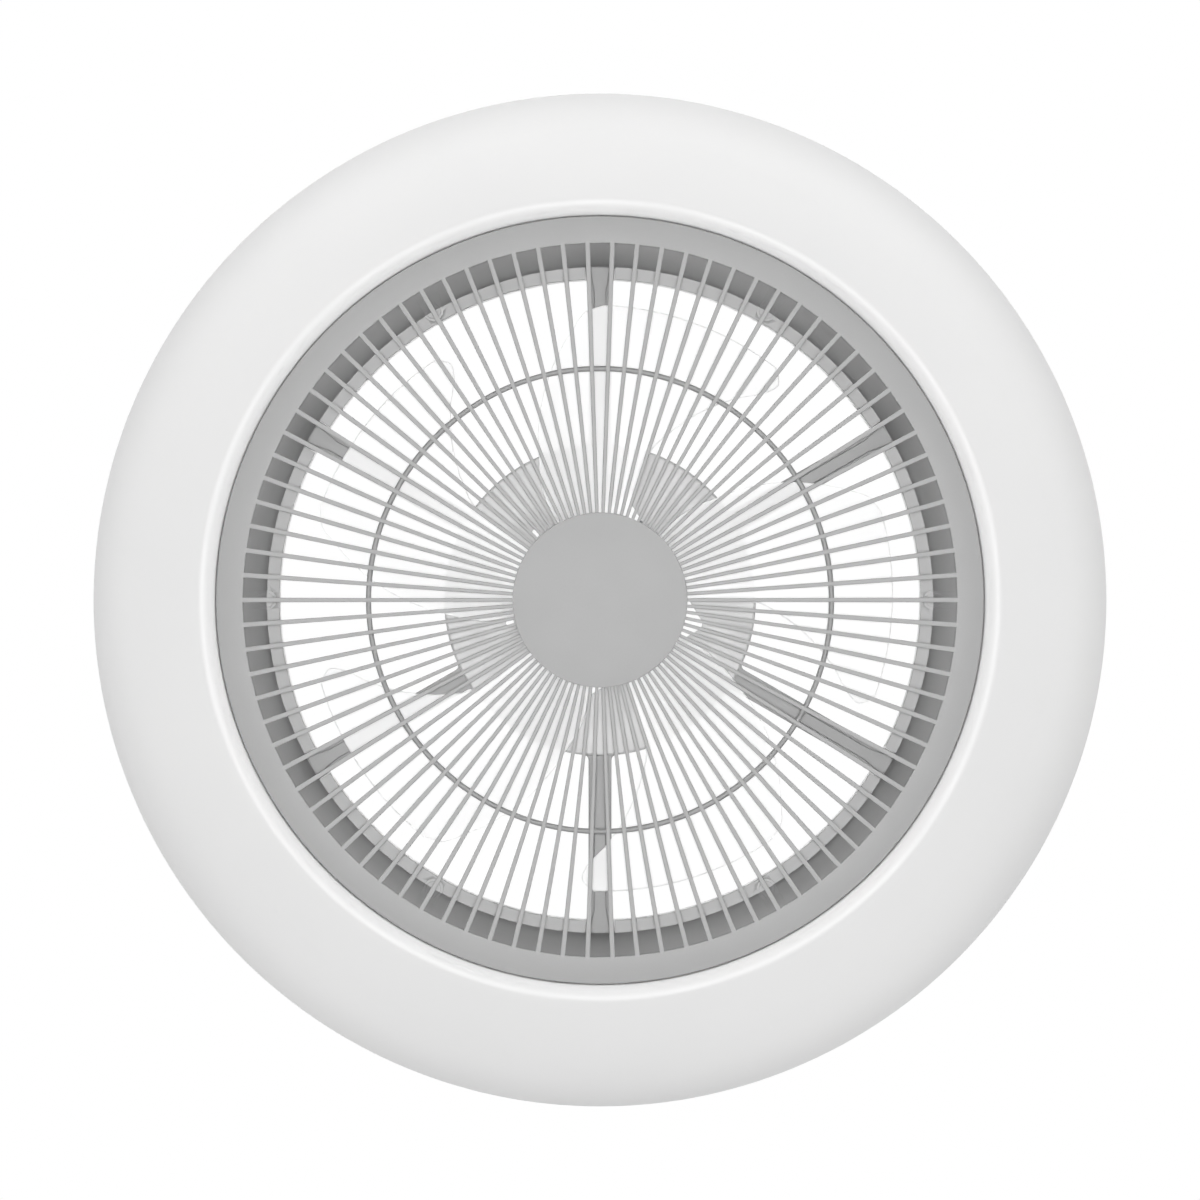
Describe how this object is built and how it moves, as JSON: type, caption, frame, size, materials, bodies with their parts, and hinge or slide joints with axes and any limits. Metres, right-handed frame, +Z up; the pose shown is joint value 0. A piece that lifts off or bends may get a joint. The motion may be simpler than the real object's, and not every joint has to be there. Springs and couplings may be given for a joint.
{
  "type": "enclosed ceiling fan",
  "caption": "Enclosed ceiling fan: clear blades in a round duct behind a ribbed grille, with a ring lamp round it.",
  "frame": {"origin": "centre of the ceiling bracket's upper face, on the ceiling plane", "axes": "+Z up, along the blades' axis into the ceiling; -Y is the side at the top of the picture"},
  "size_m": [0.6, 0.6, 0.19],
  "materials": {
    "silver_grey": "satin silver-grey moulding",
    "lamp_white": "smooth opal white",
    "casing_white": "smooth white moulding",
    "clear_blade": "milky clear, glossy",
    "housing_grey": "light grey paint, satin",
    "bright_steel": "zinc plated, satin",
    "dark_steel": "dark grey e-coat",
    "laminated_steel": "stacked laminations, lacquered",
    "copper_wire": "lacquered copper wire",
    "magnet_black": "bonded ferrite",
    "white_board": "white solder mask",
    "white_nylon": "natural nylon",
    "module_grey": "fine texture",
    "black_rubber": "matt"
  },
  "bodies": {
    "fan_frame": {"ceiling_bracket": "bright_steel", "cable_grommet": "black_rubber", "terminal_block": "white_nylon", "canopy_housing": "housing_grey", "housing_screw_1": "bright_steel", "housing_screw_2": "bright_steel", "receiver_module": "module_grey", "motor_plate": "dark_steel", "motor_plate_screw_1": "bright_steel", "motor_plate_screw_2": "bright_steel", "motor_plate_screw_3": "bright_steel", "motor_plate_screw_4": "bright_steel", "bearing_upper": "bright_steel", "bearing_spacer": "dark_steel", "bearing_lower": "bright_steel", "stator_core": "laminated_steel", "stator_winding": "copper_wire", "support_arm_1": "silver_grey", "support_arm_2": "silver_grey", "support_arm_3": "silver_grey", "support_arm_4": "silver_grey", "support_arm_5": "silver_grey", "support_arm_6": "silver_grey", "arm_screw_1": "bright_steel", "arm_screw_2": "bright_steel", "arm_screw_3": "bright_steel", "arm_screw_4": "bright_steel", "arm_screw_5": "bright_steel", "arm_screw_6": "bright_steel", "duct_ring": "silver_grey", "upper_casing": "casing_white", "lamp_cover": "lamp_white", "casing_screw_1": "bright_steel", "casing_screw_2": "bright_steel", "casing_screw_3": "bright_steel", "casing_screw_4": "bright_steel", "casing_screw_5": "bright_steel", "casing_screw_6": "bright_steel", "led_tray": "bright_steel", "led_board": "white_board", "led_driver": "module_grey", "grille": "silver_grey", "grille_brace_ring": "silver_grey", "hub_cap": "silver_grey"},
    "rotor": {"rotor_bell": "dark_steel", "magnet_ring": "magnet_black", "rotor_shaft": "bright_steel", "blade_carrier": "dark_steel", "blade_clamp_ring": "dark_steel", "blade_nut": "bright_steel", "blade_1": "clear_blade", "blade_2": "clear_blade", "blade_3": "clear_blade", "blade_4": "clear_blade", "blade_5": "clear_blade", "blade_screw_1": "bright_steel", "blade_screw_2": "bright_steel", "blade_screw_3": "bright_steel", "blade_screw_4": "bright_steel", "blade_screw_5": "bright_steel"}
  },
  "joints": [
    {"name": "rotor_spin", "type": "hinge", "parent": "fan_frame", "child": "rotor", "pos_m": [0, 0, -0.105], "axis": [0, 0, 1], "continuous": true}
  ]
}
